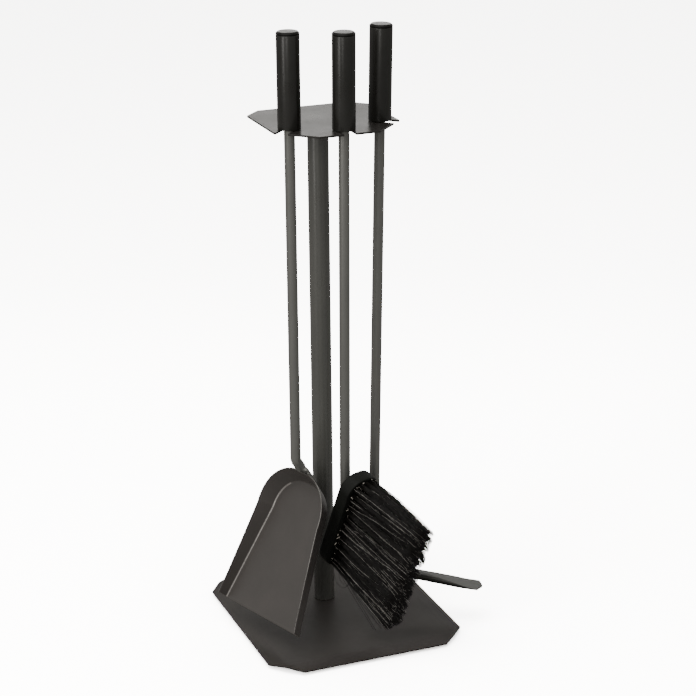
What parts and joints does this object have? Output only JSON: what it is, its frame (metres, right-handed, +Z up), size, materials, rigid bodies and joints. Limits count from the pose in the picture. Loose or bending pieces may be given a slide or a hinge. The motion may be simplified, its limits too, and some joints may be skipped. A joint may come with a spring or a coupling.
{
  "type": "fireplace tool set",
  "caption": "Free-standing fireplace tool set: a shovel, a brush and a hooked poker hang by their handles in open slots of a plate on a round pole with a flat clipped base.",
  "frame": {"origin": "bottom centre of the bounding box, on the hearth", "axes": "+Z up along the pole; -Y is the front, where the brush hangs; the shovel hangs at -X and the poker at +X"},
  "size_m": [0.2678, 0.2784, 0.6465],
  "materials": {
    "stand_paint": "satin anthracite powder coat",
    "tool_paint": "satin anthracite powder coat",
    "handle_paint": "satin black coat",
    "plain_steel": "plain turned steel",
    "rubber": "matt black",
    "brush_block": "matt black",
    "bristle": "dull black fibre"
  },
  "bodies": {
    "stand": {"base_plate": "stand_paint", "pad_front_left": "rubber", "pad_front_right": "rubber", "pad_rear_left": "rubber", "pad_rear_right": "rubber", "base_screw": "plain_steel", "base_washer": "plain_steel", "pole": "stand_paint", "pole_foot_plug": "plain_steel", "plate_spigot": "plain_steel", "top_plate": "stand_paint"},
    "shovel": {"shovel_handle_tube": "handle_paint", "shovel_handle_cap": "handle_paint", "shovel_handle_bush": "plain_steel", "shovel_rod": "tool_paint", "shovel_pan": "tool_paint"},
    "brush": {"brush_handle_tube": "handle_paint", "brush_handle_cap": "handle_paint", "brush_handle_bush": "plain_steel", "brush_rod": "tool_paint", "brush_block": "brush_block", "brush_bristles": "bristle"},
    "poker": {"poker_handle_tube": "handle_paint", "poker_handle_cap": "handle_paint", "poker_handle_bush": "plain_steel", "poker_rod": "tool_paint"}
  },
  "joints": [
    {"name": "shovel_slide", "type": "slide", "parent": "stand", "child": "shovel", "axis": [-0.7071, -0.7071, 0], "range_m": [0, 0.12]},
    {"name": "brush_slide", "type": "slide", "parent": "stand", "child": "brush", "axis": [0, -1, 0], "range_m": [0, 0.12]},
    {"name": "poker_slide", "type": "slide", "parent": "stand", "child": "poker", "axis": [0.7071, -0.7071, 0], "range_m": [0, 0.12]}
  ]
}
